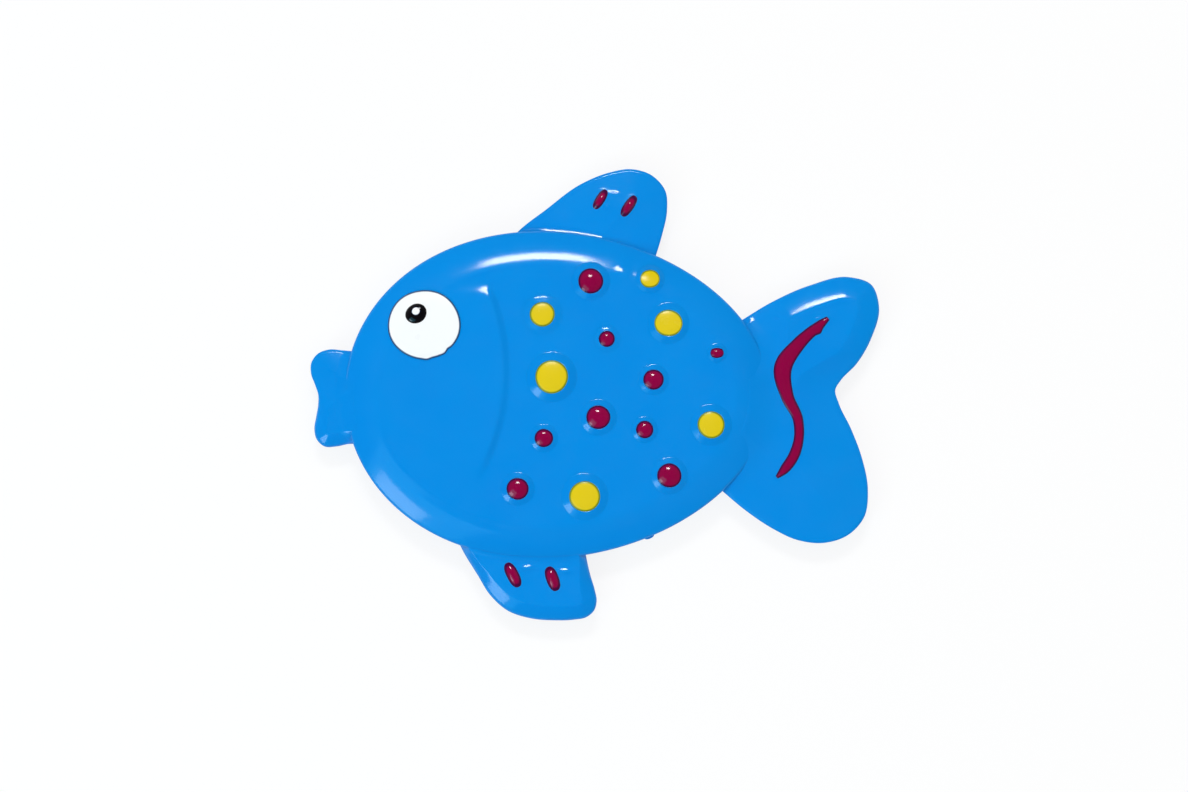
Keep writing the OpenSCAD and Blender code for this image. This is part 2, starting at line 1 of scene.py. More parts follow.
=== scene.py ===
"""Looks of the squeaky bath fish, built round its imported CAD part.

Shapes are worked out in millimetres about the middle of the body and are put in place, in metres, when a mesh
is made. The fish lies on its back: +X to the tail, +Y to the dorsal fin, +Z out of the decorated front.
"""

import math

import bpy
import numpy as np
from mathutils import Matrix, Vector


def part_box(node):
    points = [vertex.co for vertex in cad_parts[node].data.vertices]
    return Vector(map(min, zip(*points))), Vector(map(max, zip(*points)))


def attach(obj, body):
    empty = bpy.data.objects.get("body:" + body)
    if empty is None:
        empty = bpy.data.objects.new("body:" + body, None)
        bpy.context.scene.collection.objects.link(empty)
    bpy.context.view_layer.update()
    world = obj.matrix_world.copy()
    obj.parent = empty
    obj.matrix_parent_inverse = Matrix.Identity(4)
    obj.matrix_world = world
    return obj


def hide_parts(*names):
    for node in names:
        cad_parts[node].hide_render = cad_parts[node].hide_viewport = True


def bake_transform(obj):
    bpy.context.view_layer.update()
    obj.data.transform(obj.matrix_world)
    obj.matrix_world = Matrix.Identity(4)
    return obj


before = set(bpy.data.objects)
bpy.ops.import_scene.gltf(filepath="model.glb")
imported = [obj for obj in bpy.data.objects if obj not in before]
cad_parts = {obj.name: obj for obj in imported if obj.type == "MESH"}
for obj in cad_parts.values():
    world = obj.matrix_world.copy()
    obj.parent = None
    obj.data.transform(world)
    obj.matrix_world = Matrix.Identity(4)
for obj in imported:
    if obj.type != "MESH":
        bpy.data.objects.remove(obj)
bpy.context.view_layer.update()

MM = 0.001


# Sizes, in millimetres, from the frame where it gives them
def node_box(name):
    """Lowest and highest corner of a CAD node, in millimetres."""
    low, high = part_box(name)
    return np.array(low) / MM, np.array(high) / MM


PLUG_LOW, PLUG_HIGH = node_box("squeaker_plug")
FOLD_LOW, FOLD_HIGH = node_box("front_fold")
CAP_LOW, CAP_HIGH = node_box("squeaker_cap")
MIDDLE = (PLUG_LOW + PLUG_HIGH)[:2] / 2

TAPER = 0.08
HALF_L = (FOLD_HIGH[0] - FOLD_LOW[0]) / 2
TURN = np.linspace(0, 2 * np.pi, 721)
HALF_H = (FOLD_HIGH[1] - FOLD_LOW[1]) / 2 / np.max((1 - TAPER * np.cos(TURN)) * np.sin(TURN))
Z_WELD = node_box("front_rim")[0][2]
Z_RIM = FOLD_LOW[2]
Z_BACK = 2 * Z_WELD - Z_RIM

EDGE_H = 1.8
EDGE_W = 0.55
EDGE_ROUND = 0.25
Z_EDGE = Z_RIM + EDGE_H
MARGIN_W = 7.6
MARGIN_RISE = 2.2
MARGIN_POWER = 1.5
CROWN_BULGE = 1.2

YELLOW_SPOTS = ["yellow_spot_%d" % i for i in range(1, 7)]
MAROON_SPOTS = ["maroon_spot_%d" % i for i in range(1, 10)]


# Mesh making
def ring_faces(rows, columns, close_rows, close_columns):
    """Quads of a grid: corner, next column, next row and column, next row, so that they face outwards when the
    columns run anticlockwise and the rows climb the outside."""
    r = np.arange(rows if close_rows else rows - 1)
    c = np.arange(columns if close_columns else columns - 1)
    r, c = np.meshgrid(r, c, indexing="ij")
    r2 = (r + 1) % rows
    c2 = (c + 1) % columns
    quads = np.stack([r * columns + c, r * columns + c2, r2 * columns + c2, r2 * columns + c], -1)
    return quads.reshape(-1, 4).tolist()


def surface(points, close_rows=False, close_columns=True, bottom=None, top=None):
    """Points and faces of a grid of points, rows by columns. A bottom or top point closes the first or last row with
    a fan. Open columns are closed with one flat face at each end."""
    rows, columns = points.shape[:2]
    verts = points.reshape(-1, 3)
    faces = ring_faces(rows, columns, close_rows, close_columns)
    c = np.arange(columns)
    after = (c + 1) % columns
    last = (rows - 1) * columns
    if bottom is not None:
        pole = np.full(columns, len(verts))
        verts = np.vstack([verts, bottom])
        faces += np.stack([pole, after, c], -1).tolist()
    if top is not None:
        pole = np.full(columns, len(verts))
        verts = np.vstack([verts, top])
        faces += np.stack([last + c, last + after, pole], -1).tolist()
    if not close_columns:
        column = np.arange(rows) * columns
        faces += [column.tolist(), (column + columns - 1)[::-1].tolist()]
    return verts, faces


def join(parts):
    """Points and faces of several surfaces as one."""
    verts = []
    faces = []
    start = 0
    for part_verts, part_faces in parts:
        verts.append(part_verts)
        faces += [[i + start for i in face] for face in part_faces]
        start += len(part_verts)
    return np.vstack(verts), faces


def piece(name, verts, faces, material, slot, rim=None, sharp=40):
    """A mesh object at the origin from points in millimetres about the body's middle. Edges that turn by more than the
    sharp angle stay crisp. Edge shade, if given, says how near each point is to the thin edge of a poured drop. There
    its material paints a darker edge colour: painted shade, partly also the vinyl under it showing through."""
    placed = (verts + [MIDDLE[0], MIDDLE[1], 0]) * MM
    mesh = bpy.data.meshes.new(name)
    mesh.from_pydata(placed.tolist(), [], faces)
    mesh.validate()
    mesh.polygons.foreach_set("use_smooth", np.ones(len(mesh.polygons), bool))
    mesh.set_sharp_from_angle(angle=math.radians(sharp))
    mesh.materials.append(material)
    if rim is not None:
        mesh.attributes.new("rim", "FLOAT", "POINT").data.foreach_set("value", rim)
    obj = bpy.data.objects.new(name, mesh)
    bpy.context.scene.collection.objects.link(obj)
    return obj


def smoothstep(t):
    """0 below 0, 1 above 1, and 3t^2 - 2t^3 between."""
    t = np.clip(t, 0, 1)
    return t * t * (3 - 2 * t)


def spread(points):
    """Points given as separate x, y and z arrays, as one array."""
    return np.stack(np.broadcast_arrays(*points), -1).astype(float)


# The egg-shaped body
def egg_point(angle, inset):
    """Ellipse whose height narrows towards the tail, moved inwards by an inset along its outward normal."""
    high = HALF_H * (1 - TAPER * np.cos(angle))
    along = -HALF_L * np.sin(angle)
    up = high * np.cos(angle) + HALF_H * TAPER * np.sin(angle) ** 2
    size = np.hypot(up, along)
    return HALF_L * np.cos(angle) - inset * up / size, high * np.sin(angle) + inset * along / size


def egg_share(x, y, inset=0.0):
    """Square of the share of the way from the middle to the outline, or to an outline drawn in by an inset."""
    return (x / (HALF_L - inset)) ** 2 + (y / ((HALF_H - inset) * (1 - TAPER * x / HALF_L))) ** 2


def path_distance(x, y, path):
    """Distance to the nearest point of a path, along its straight pieces."""
    a = path[:-1]
    d = path[1:] - a
    px = x[..., None] - a[:, 0]
    py = y[..., None] - a[:, 1]
    t = np.clip((px * d[:, 0] + py * d[:, 1]) / np.sum(d * d, axis=1), 0, 1)
    return np.min(np.hypot(px - t * d[:, 0], py - t * d[:, 1]), axis=-1)


OUTLINE = np.stack(egg_point(TURN[::2], 0), -1)


def outline_distance(x, y):
    """Distance to the body's outline."""
    return path_distance(x, y, OUTLINE)


def rounding(share):
    """Fall of a rounded edge: the square of the share of the way left to its inner end."""
    return (1 - np.clip(share, 0, 1)) ** 2


def margin_height(inset):
    """Upright edge, plus a margin that rises as 1 - (1 - share)^power."""
    return Z_EDGE + MARGIN_RISE * (1 - (1 - np.clip(inset / MARGIN_W, 0, 1)) ** MARGIN_POWER)


def face_height(x, y, inset):
    """The margin, plus a bulge that falls off as the square of the distance from the middle."""
    return margin_height(inset) + CROWN_BULGE * (1 - egg_share(x, y))


def oval(name):
    """Middle, width and height of an oval CAD node."""
    low, high = node_box(name)
    x, y = (low + high)[:2] / 2 - MIDDLE
    return x, y, high[0] - low[0], high[1] - low[1]


# Middle and diameter of each spot
SPOTS = {name: oval(name)[:3] for name in YELLOW_SPOTS + MAROON_SPOTS}

GILL_X = -12.1
GILL_Y = 5.0
GILL_CURVE = 0.0109
GILL_H = 0.7
GILL_REACH = 11.0
GILL_DROP = 2.0
GILL_TOP = (20.5, 25.0)
GILL_FOOT = (-21.0, -11.0)
GILL_FADE = (0.86, 0.3)


def gill(x, y):
    """Head that rises towards a curved gill line and falls behind it in a short step, fading at the line's two ends
    and towards the body's outline."""
    behind = x - (GILL_X - GILL_CURVE * (y - GILL_Y) ** 2)
    rise = np.where(behind < 0, np.exp(np.minimum(behind, 0) / GILL_REACH), 1 - smoothstep(behind / GILL_DROP))
    top = 1 - smoothstep((y - GILL_TOP[0]) / (GILL_TOP[1] - GILL_TOP[0]))
    foot = smoothstep((y - GILL_FOOT[0]) / (GILL_FOOT[1] - GILL_FOOT[0]))
    inner = smoothstep((GILL_FADE[0] - egg_share(x, y)) / GILL_FADE[1])
    return GILL_H * rise * (top * foot) * inner


CREASE_H = 0.08
CREASE_W = 1.1
CREASE_AT = 235
CREASE_INSET = 6.6
CREASE_CURVE = 0.002
CREASE_FADE = (205, 230, 262, 280)


def belly_crease(x, y, inset):
    """Shallow groove in the margin over the belly: a bell curve of the distance from a bowed line that nears the
    outline at both ends and fades there."""
    angle = np.degrees(np.arctan2(y / (HALF_H * (1 - TAPER * x / HALF_L)), x / HALF_L)) % 360
    line = CREASE_INSET - CREASE_CURVE * (angle - CREASE_AT) ** 2
    a, b, c, d = CREASE_FADE
    fade = smoothstep((angle - a) / (b - a)) * smoothstep((d - angle) / (d - c))
    return CREASE_H * fade * np.exp(-(((inset - line) / CREASE_W) ** 2))


# Height of the ripple, and the waves along x and y and aslant, each as a length over one radian and a start
RIPPLE_H = 0.03
RIPPLE_X = (6.3, 1)
RIPPLE_Y = (5.2, 0.5)
RIPPLE_SLANT = (8.5, 2)
RIPPLE_LEAN = 0.6


def ripple(x, y):
    """Slow unevenness of a soft moulding: two crossed waves and one slanting wave."""
    crossed = np.sin(x / RIPPLE_X[0] + RIPPLE_X[1]) * np.sin(y / RIPPLE_Y[0] + RIPPLE_Y[1])
    return RIPPLE_H * (crossed + np.sin((x + RIPPLE_LEAN * y) / RIPPLE_SLANT[0] + RIPPLE_SLANT[1]))


# Low swellings of the skin behind the dorsal fin, which break up the long highlight: middle, radius and height
SWELLINGS = [(14.6, 27.0, 2.1, 0.1), (17.8, 26.2, 1.4, 0.085)]


def swellings(x, y):
    """Low round swellings that fall as the square of 1 - (distance / radius)^2."""
    return sum(
        height * np.maximum(1 - ((x - sx) ** 2 + (y - sy) ** 2) / radius**2, 0) ** 2
        for sx, sy, radius, height in SWELLINGS
    )


def front_height(x, y, inset):
    """Outer face of the front moulding, with its gill line, swellings, crease and ripple."""
    inner = smoothstep(inset / MARGIN_W)
    face = face_height(x, y, inset) + gill(x, y) + swellings(x, y)
    return face - belly_crease(x, y, inset) + inner * ripple(x, y)


def crown_height(x, y):
    """The same at any place of the crown, with the inset found from the outline."""
    return front_height(x, y, outline_distance(x, y))


# Fins
DORSAL_KNOTS = [
    (-0.1, -0.25), (0.03, 0.07), (0.18, 0.34), (0.43, 0.77), (0.62, 0.95), (0.76, 1), (0.9, 0.9), (0.99, 0.65),
    (1, 0.35), (0.965, -0.05), (0.92, -0.4), (0.86, -0.8),
]
BELLY_KNOTS = [
    (-0.06, 0.25), (0, -0.02), (0.125, -0.4), (0.215, -0.66), (0.345, -0.87), (0.52, -0.975), (0.69, -1),
    (0.83, -0.992), (0.93, -0.955), (0.985, -0.865), (1.003, -0.74), (0.99, -0.6), (0.957, -0.4), (0.92, -0.1),
    (0.88, 0.3),
]
TAIL_KNOTS = [
    (-0.6, 0.2), (-0.26, 0.28), (0, 0.345), (0.37, 0.413), (0.72, 0.444), (0.93, 0.415), (1, 0.33), (0.93, 0.215),
    (0.79, 0.115), (0.65, 0.055), (0.6, 0.02), (0.63, -0.03), (0.74, -0.125), (0.84, -0.235), (0.895, -0.355),
    (0.86, -0.46), (0.72, -0.525), (0.5, -0.556), (0.25, -0.545), (0.03, -0.503), (-0.2, -0.44), (-0.42, -0.365),
    (-0.7, -0.26),
]
LIPS_KNOTS = [
    (0.5, 0.44), (-0.1, 0.459), (-0.46, 0.467), (-0.8, 0.422), (-0.98, 0.332), (-0.99, 0.222), (-0.87, 0.102),
    (-0.78, 0.002), (-0.78, -0.098), (-0.84, -0.228), (-0.89, -0.348), (-0.82, -0.458), (-0.6, -0.528),
    (-0.25, -0.528), (0.1, -0.503), (0.5, -0.508),
]


def curve(knots, steps=24):
    """Hermite cubics through the knots, with slopes that are the chord-weighted means of the neighbouring chords."""
    p = np.asarray(knots, float)
    chord = np.diff(p, axis=0)
    length = np.linalg.norm(chord, axis=1)[:, None]
    unit = chord / length
    mean = (unit[:-1] * length[1:] + unit[1:] * length[:-1]) / (length[1:] + length[:-1])
    slope = np.vstack([unit[:1], mean, unit[-1:]])
    t = (np.arange(steps) / steps)[None, :, None]
    spans = (
        p[:-1, None] * (2 * t**3 - 3 * t**2 + 1)
        + slope[:-1, None] * length[:, None] * (t**3 - 2 * t**2 + t)
        + p[1:, None] * (3 * t**2 - 2 * t**3)
        + slope[1:, None] * length[:, None] * (t**3 - t**2)
    )
    return np.vstack([spans.reshape(-1, p.shape[1]), p[-1:]])


def resample(path, count):
    """Points at even steps along a path."""
    along = np.concatenate([[0], np.cumsum(np.linalg.norm(np.diff(path[:, :2], axis=0), axis=1))])
    steps = np.linspace(0, along[-1], count)
    return np.stack([np.interp(steps, along, path[:, k]) for k in range(path.shape[1])], -1)


DORSAL_AT = math.radians(101)
BELLY_AT = math.radians(243)
DORSAL_SIZE = (33.0, 14.0)
BELLY_SIZE = (29.7, 16.4)
TAIL_SIZE = (24.1, 58.4)
LIPS_SIZE = (7.6, 21.4)
DORSAL_ROOT = np.array(egg_point(DORSAL_AT, 0))
BELLY_ROOT = np.array(egg_point(BELLY_AT, 0))
TAIL_ROOT = np.array([HALF_L, 0])
LIPS_ROOT = np.array([-HALF_L, 0])

# Bars: shares of the fin's length and reach, half length and half width as shares of its reach, and the lean of the
# top to the tail in degrees
DORSAL_BARS = [(0.555, 0.52, 0.175, 0.074, 32), (0.745, 0.413, 0.19, 0.08, 34)]
BELLY_BARS = [(0.384, -0.392, 0.18, 0.082, -27), (0.677, -0.443, 0.17, 0.085, -20)]

# Stripe: shares of the tail's length and height, and width as a share of the tail's length
STRIPE_KNOTS = [
    (0.53, 0.287, 0.04), (0.485, 0.272, 0.07), (0.423, 0.252, 0.09), (0.261, 0.19, 0.125), (0.12, 0.103, 0.165),
    (0.158, -0.006, 0.12), (0.255, -0.092, 0.095), (0.262, -0.165, 0.092), (0.213, -0.232, 0.1),
    (0.128, -0.282, 0.085), (0.062, -0.31, 0.03),
]
STRIPE_SCALE = np.array([TAIL_SIZE[0], TAIL_SIZE[1], TAIL_SIZE[0]])
STRIPE_POINTS = 180
STRIPE = resample(curve(np.array(STRIPE_KNOTS) * STRIPE_SCALE + [TAIL_ROOT[0], 0, 0]), STRIPE_POINTS)
EDGE_POINTS = 160


def fin(knots, root, size, hub, rise, slope_w, fillet, grid, bars=(), ridges=(), lift=0.0, ease=None, turn=False):
    """A fin's outline, anticlockwise, and the values that shape its faces."""
    path = curve(root + np.array(knots) * size)
    path = path[::-1] if turn else path
    return {
        "path": path,
        "edge": resample(path, EDGE_POINTS),
        "hub": np.array(hub),
        "rise": rise,
        "slope_w": slope_w,
        "fillet": fillet,
        "grid": grid,
        "ridges": ridges,
        "lift": lift,
        "ease": ease,
        "bars": [
            (*(root + np.array([along, up]) * size), long * size[1], wide * size[1], math.radians(-lean))
            for along, up, long, wide, lean in bars
        ],
    }


# Where a fin's slope is eased: the start of each fade and the width over which it runs. Each function takes a place
# and its distance outside the body
ROOT_REACH = 9.0
LOWER_LOBE = (-2, 12)
TAIL_ROOT_FADE = (3.5, 6)
LOWER_LIP = (-3, 5)


def near_body(x, y, outside):
    """1 at the body's outline, falling to 0 further out."""
    return 1 - smoothstep(outside / ROOT_REACH)


def plain_tail(x, y, outside):
    """1 on the tail's lower lobe and near the body, 0 on its upper lobe."""
    lower = 1 - smoothstep((y - LOWER_LOBE[0]) / LOWER_LOBE[1])
    near = 1 - smoothstep((outside - TAIL_ROOT_FADE[0]) / TAIL_ROOT_FADE[1])
    return np.maximum(lower, near)


def upper_lip(x, y, outside):
    """0 on the lower lip, rising to 1 on the upper lip."""
    return smoothstep((y - LOWER_LIP[0]) / LOWER_LIP[1])


# Creases that the moulding leaves beside the bars and the stripe: middle, half length, half width, height and the lift
# of the tail end in degrees
DORSAL_RIDGES = [(12.4, 44.2, 1.1, 0.5, 0.14, -6), (10.8, 41.3, 0.4, 0.45, 0.14, 20)]
BELLY_RIDGES = [(-6.6, -38.0, 2.0, 0.65, 0.28, 6), (1.5, -38.7, 1.8, 0.6, 0.27, -2)]
TAIL_RIDGES = [(48.2, 17.2, 0.6, 0.4, 0.12, 0), (57.0, 16.6, 1.3, 0.4, 0.14, 20)]

# Each fin has a hub that its columns run to, a rise and slope width, a fillet that reaches in and out from the body's
# outline, a number of columns and rows, its marks, and a lift at the root. Ease says where its slope widens and by
# what share
FINS = {
    "dorsal": fin(
        DORSAL_KNOTS, DORSAL_ROOT, DORSAL_SIZE, (6, 26), 1.45, 11.0, (0.95, 0.9), (240, 80),
        DORSAL_BARS, DORSAL_RIDGES, lift=0.3, ease=(near_body, 1.6), turn=True,
    ),
    "belly": fin(
        BELLY_KNOTS, BELLY_ROOT, BELLY_SIZE, (-6, -24), 1.45, 3.2, (2.4, 1.4), (240, 80),
        BELLY_BARS, BELLY_RIDGES, ease=(near_body, -0.5),
    ),
    "tail": fin(
        TAIL_KNOTS, TAIL_ROOT, TAIL_SIZE, (HALF_L - 12, 0), 1.8, 4.9, (4.5, 3.5), (320, 110),
        ridges=TAIL_RIDGES, ease=(plain_tail, 1.6), turn=True,
    ),
    "lips": fin(
        LIPS_KNOTS, LIPS_ROOT, LIPS_SIZE, (8 - HALF_L, 0), 1.3, 2.8, (2.0, 2.5), (200, 50), ease=(upper_lip, 1.6)
    ),
}
FIN_POWER = 1.2
FIN_EDGE_W = 0.6
FIN_TUCK = 1.0
FIN_CROWD = 1.5
FILLET_FADE = 1.5
LIFT_FADE = 4
HALVINGS = 30
ROOT_INSET = 0.5
ROOT_DEPTH = 0.03
ROOT_STEPS = 120
BACK_RISE = 0.5
BACK_GRID = (240, 32)
MOUND_H = 0.05
MOUND_W = 0.9


def outside_body(x, y):
    """Distance outside the body's outline, less than 0 inside it."""
    return outline_distance(x, y) * np.where(egg_share(x, y) > 1, 1, -1)


def root_fillet(shape, outside, distance):
    """Fillet from a fin up to the body's margin, as a cubic that leaves the fin level and meets the margin at its own
    slope. It fades out at the fin's own edge."""
    reach_in, reach_out = shape["fillet"]
    width = reach_in + reach_out
    crown = 2 * CROWN_BULGE / HALF_H
    climb = margin_height(reach_in) + crown * reach_in - (Z_RIM + shape["rise"] + shape["lift"])
    slope = MARGIN_RISE * MARGIN_POWER / MARGIN_W * (1 - reach_in / MARGIN_W) ** (MARGIN_POWER - 1) + crown
    end = slope * width / climb
    t = np.clip((reach_out - outside) / width, 0, 1)
    return climb * (smoothstep(t) + end * (t**3 - t**2)) * smoothstep(distance / FILLET_FADE)


def pill_gap(x, y, bar):
    """Distance outside a bar with round ends, 0 inside it."""
    bx, by, long, wide, turn = bar
    across = (x - bx) * math.cos(turn) + (y - by) * math.sin(turn)
    along = (y - by) * math.cos(turn) - (x - bx) * math.sin(turn)
    along = along - np.clip(along, wide - long, long - wide)
    return np.maximum(np.hypot(across, along) - wide, 0)


def stripe_gap(x, y):
    """Distance outside the tail's stripe, taken as a row of discs along its middle line, 0 inside it."""
    gap = np.hypot(x[..., None] - STRIPE[:, 0], y[..., None] - STRIPE[:, 1]) - STRIPE[:, 2] / 2
    return np.maximum(np.min(gap, axis=-1), 0)


def mounds(shape, x, y):
    """Low mounds that carry the bars and the stripe, which fall as the square of the share of the way from their
    foot."""
    gaps = [pill_gap(x, y, bar) for bar in shape["bars"]]
    if shape is FINS["tail"]:
        gaps.append(stripe_gap(x, y))
    if not gaps:
        return np.zeros(x.shape)
    return MOUND_H * np.clip(1 - np.min(gaps, axis=0) / MOUND_W, 0, 1) ** 2


def ridges(shape, x, y):
    """Small creases, each a bell curve across and along its own direction."""
    height = np.zeros(x.shape)
    for rx, ry, long, wide, high, lean in shape["ridges"]:
        turn = math.radians(lean)
        along = (x - rx) * math.cos(turn) + (y - ry) * math.sin(turn)
        across = (y - ry) * math.cos(turn) - (x - rx) * math.sin(turn)
        height += high * np.exp(-((along / long) ** 2) - (across / wide) ** 2)
    return height


def fin_height(shape, x, y):
    """Front face of a fin: a rounded edge, a pad that rises as 1 - (1 - share)^power of the distance from the outline,
    over a wider or narrower slope where it is eased, a lift and a fillet at the body, and the mounds and creases of
    its marks."""
    distance = path_distance(x, y, shape["edge"])
    outside = outside_body(x, y)
    slope_w = shape["slope_w"]
    if shape["ease"]:
        where, amount = shape["ease"]
        slope_w = slope_w * (1 + amount * where(x, y, outside))
    pad = shape["rise"] * (1 - (1 - np.clip(distance / slope_w, 0, 1)) ** FIN_POWER)
    lift = shape["lift"] * near_body(x, y, outside) * smoothstep(distance / LIFT_FADE)
    face = Z_RIM - EDGE_ROUND * rounding(distance / FIN_EDGE_W) + pad + lift
    return face + root_fillet(shape, outside, distance) + mounds(shape, x, y) + ridges(shape, x, y)


def fin_back(shape, x, y):
    """Back face of a fin: a rounded edge and a shallower pad, turned down."""
    distance = path_distance(x, y, shape["edge"])
    pad = BACK_RISE * (1 - (1 - np.clip(distance / shape["slope_w"], 0, 1)) ** FIN_POWER)
    return Z_BACK + EDGE_ROUND * rounding(distance / FIN_EDGE_W) - pad


def fin_rays(shape, columns):
    """Rays of a fin, each from its outline towards a hub in the body, up to an inset from the body's outline that is
    found by halving: where they start, and the way from there to their ends."""
    path = shape["path"]
    path = resample(path[egg_share(path[:, 0], path[:, 1], ROOT_INSET) > 1], columns)
    to_hub = shape["hub"] - path
    low = np.zeros(columns)
    high = np.ones(columns)
    for _ in range(HALVINGS):
        middle = (low + high) / 2
        at = path + middle[:, None] * to_hub
        beyond = egg_share(at[:, 0], at[:, 1], FIN_TUCK + shape["fillet"][0]) > 1
        low = np.where(beyond, middle, low)
        high = np.where(beyond, high, middle)
    return path, low[:, None] * to_hub


def places(path, to_end, share):
    """Places at shares of the way along the rays, as x and y grids."""
    at = path + share[:, None, None] * to_end
    return at[..., 0], at[..., 1]


def crowded(rows):
    """Shares of the way along a ray, which crowd towards its start at the fin's edge."""
    return np.linspace(0, 1, rows) ** FIN_CROWD


def shown_share(shape, path, to_end):
    """Share of each ray up to the place where the fin's face goes under the body's skin. The fin stops there, so that
    nothing of it stands out of the skin when that is pressed in."""
    steps = np.linspace(0, 1, ROOT_STEPS + 1)
    x, y = places(path, to_end, steps)
    outside = outside_body(x, y)
    depth = front_height(x, y, np.maximum(-outside, 0)) - fin_height(shape, x, y)
    shown = (outside > -ROOT_INSET) | (depth < ROOT_DEPTH)
    return np.where(shown.all(axis=0), 1, steps[np.argmin(shown, axis=0)])


def front_fin(shape):
    """Closed half of a fin over the weld: its wall, its face from the edge in, then down inside the body and back."""
    columns, rows = shape["grid"]
    path, to_end = fin_rays(shape, columns)
    to_end = to_end * shown_share(shape, path, to_end)[:, None]
    x, y = places(path, to_end, crowded(rows))
    top = fin_height(shape, x, y)
    wall = spread((x[:1], y[:1], Z_WELD))
    grid = np.concatenate([wall, spread((x, y, top)), spread((x[-1:], y[-1:], Z_WELD))])
    return surface(grid, close_rows=True, close_columns=False)


def back_fin(shape):
    """Closed half of a fin under the weld, with its rows turned round so that its faces point outwards."""
    columns, rows = BACK_GRID
    x, y = places(*fin_rays(shape, columns), crowded(rows))
    low = fin_back(shape, x, y)
    wall = spread((x[:1], y[:1], Z_WELD))
    grid = np.concatenate([spread((x[-1:], y[-1:], Z_WELD)), spread((x, y, low))[::-1], wall])
    return surface(grid, close_rows=True, close_columns=False)


# Body skins
COLUMNS = 440
EDGE_ROWS = 9
MARGIN_ROWS = 36
CROWN_ROWS = 88
CEILING_INSET = 1.2
CEILING_LOW = 0.1
CEILING_RISE = 1.8
CEILING_SHARES = np.array([0.2, 0.45, 0.7, 0.9])[:, None]


def around(columns):
    """Even angles round a full turn, as a row."""
    return np.linspace(0, 2 * np.pi, columns, endpoint=False)[None, :]


def egg_rows(insets):
    """Rings of the body's outline at several insets, as x and y grids."""
    return egg_point(around(COLUMNS), np.asarray(insets, float)[:, None])


def front_skin():
    """Front of the body: a low ceiling under it that falls as 1 - share^2, then its wall, the rounded margin and rings
    that shrink to the middle, over the crown with its gill line."""
    cx, cy = egg_rows([CEILING_INSET])
    ceiling_z = Z_WELD + CEILING_LOW + CEILING_RISE * (1 - CEILING_SHARES**2)

    wx, wy = egg_rows([0])

    edge_insets = np.linspace(0, EDGE_W, EDGE_ROWS)
    insets = np.concatenate([edge_insets, np.linspace(EDGE_W, MARGIN_W, MARGIN_ROWS)[1:]])
    mx, my = egg_rows(insets)
    edge = EDGE_ROUND * rounding(insets / EDGE_W)
    margin_z = front_height(mx, my, insets[:, None]) - edge[:, None]

    share = np.linspace(1, 0, CROWN_ROWS)[1:-1, None]
    ix, iy = egg_rows([MARGIN_W])
    px, py = share * ix, share * iy
    crown_z = front_height(px, py, np.full_like(px, MARGIN_W))

    grid = np.concatenate(
        [
            spread((CEILING_SHARES * cx, CEILING_SHARES * cy, ceiling_z)),
            spread((wx, wy, Z_WELD)),
            spread((mx, my, margin_z)),
            spread((px, py, crown_z)),
        ]
    )
    middle = np.zeros(1)
    top = [0, 0, front_height(middle, middle, np.array([MARGIN_W]))[0]]
    return surface(grid, bottom=[0, 0, Z_WELD + CEILING_LOW + CEILING_RISE], top=top)


NUB_SLOPE = 0.45
SOFT_SLOPE = 0.31
NUB_FOOT = 1.52
NUB_LIP = 1.05
LIP_H = 0.12
FOOT_ROUND = 0.16
SOFT_ROUND = 0.5
ROUND_LIMIT = 0.9
NUB_SINK = 0.005
NUB_SKIRT = 0.1
NUB_WALL = 0.4
NUB_INNER = 0.8
NUB_ROWS = (11, 4)
NUB_COLUMNS = 108
SOFT_NUBS = ("yellow_spot_2", "maroon_spot_2")


def nub_slope(name):
    """Slope of a nub's side, gentler on the two softest nubs."""
    return SOFT_SLOPE if name in SOFT_NUBS else NUB_SLOPE


def nub_height(name):
    """Height of a nub's lip over the crown: its slope times the way from its foot to its lip."""
    return nub_slope(name) * (NUB_FOOT - NUB_LIP) * SPOTS[name][2] / 2


def seat_step(name):
    """Height of a spot's edge over the crown, a step below its nub's lip."""
    return nub_height(name) - LIP_H


def seat(name):
    """Face that a spot is poured on, as a function of the place: the crown plus the spot's step."""
    return lambda x, y: crown_height(x, y) + seat_step(name)


def nub(name):
    """Collar round a spot: a skirt in the crown, a foot that is rounded as the square of the distance, longer on the
    two softest nubs, a straight slope up to a lip, a step down to the spot's edge and a wall under the spot."""
    x, y, d = SPOTS[name]
    radius = d / 2
    climb = (NUB_FOOT - NUB_LIP) * radius
    width = min(SOFT_ROUND if name in SOFT_NUBS else FOOT_ROUND, ROUND_LIMIT * climb)
    way = np.concatenate([np.linspace(-width, width, NUB_ROWS[0]), np.linspace(width, climb, NUB_ROWS[1])[1:]])
    rise = nub_slope(name) * np.where(way < width, (way + width) ** 2 / (4 * width), way) - NUB_SINK
    step = seat_step(name)
    foot = NUB_FOOT * radius
    inner = NUB_INNER * radius
    out = np.concatenate([[foot + width + NUB_SKIRT], foot - way, [radius, inner, inner]])
    up = np.concatenate([[-NUB_SKIRT], rise, [step, step, -NUB_WALL]])
    angle = around(NUB_COLUMNS)
    px = x + out[:, None] * np.cos(angle)
    py = y + out[:, None] * np.sin(angle)
    return surface(spread((px, py, crown_height(px, py) + up[:, None])), close_rows=True)


BACK_WALL = 1.6
FOOT_W = 1.6
SOCKET_GAP = 0.05
SOCKET_R = (PLUG_HIGH[0] - PLUG_LOW[0]) / 2 + SOCKET_GAP
BORE_R = (CAP_HIGH[0] - CAP_LOW[0]) / 2 + SOCKET_GAP
BOSS_R = SOCKET_R + 2.5
SOCKET_Z = 1.2
SOCKET_TOP = 3.0
CHAMFER = 0.15
DISH_ROWS = 16
OUTER_ROWS = 26
FLOOR_ROWS = 14


def circle_rows(radii):
    """Rings about the squeaker at several radii, as x and y grids."""
    angle = around(COLUMNS)
    radii = np.asarray(radii, float)[:, None]
    return radii * np.cos(angle), radii * np.sin(angle)


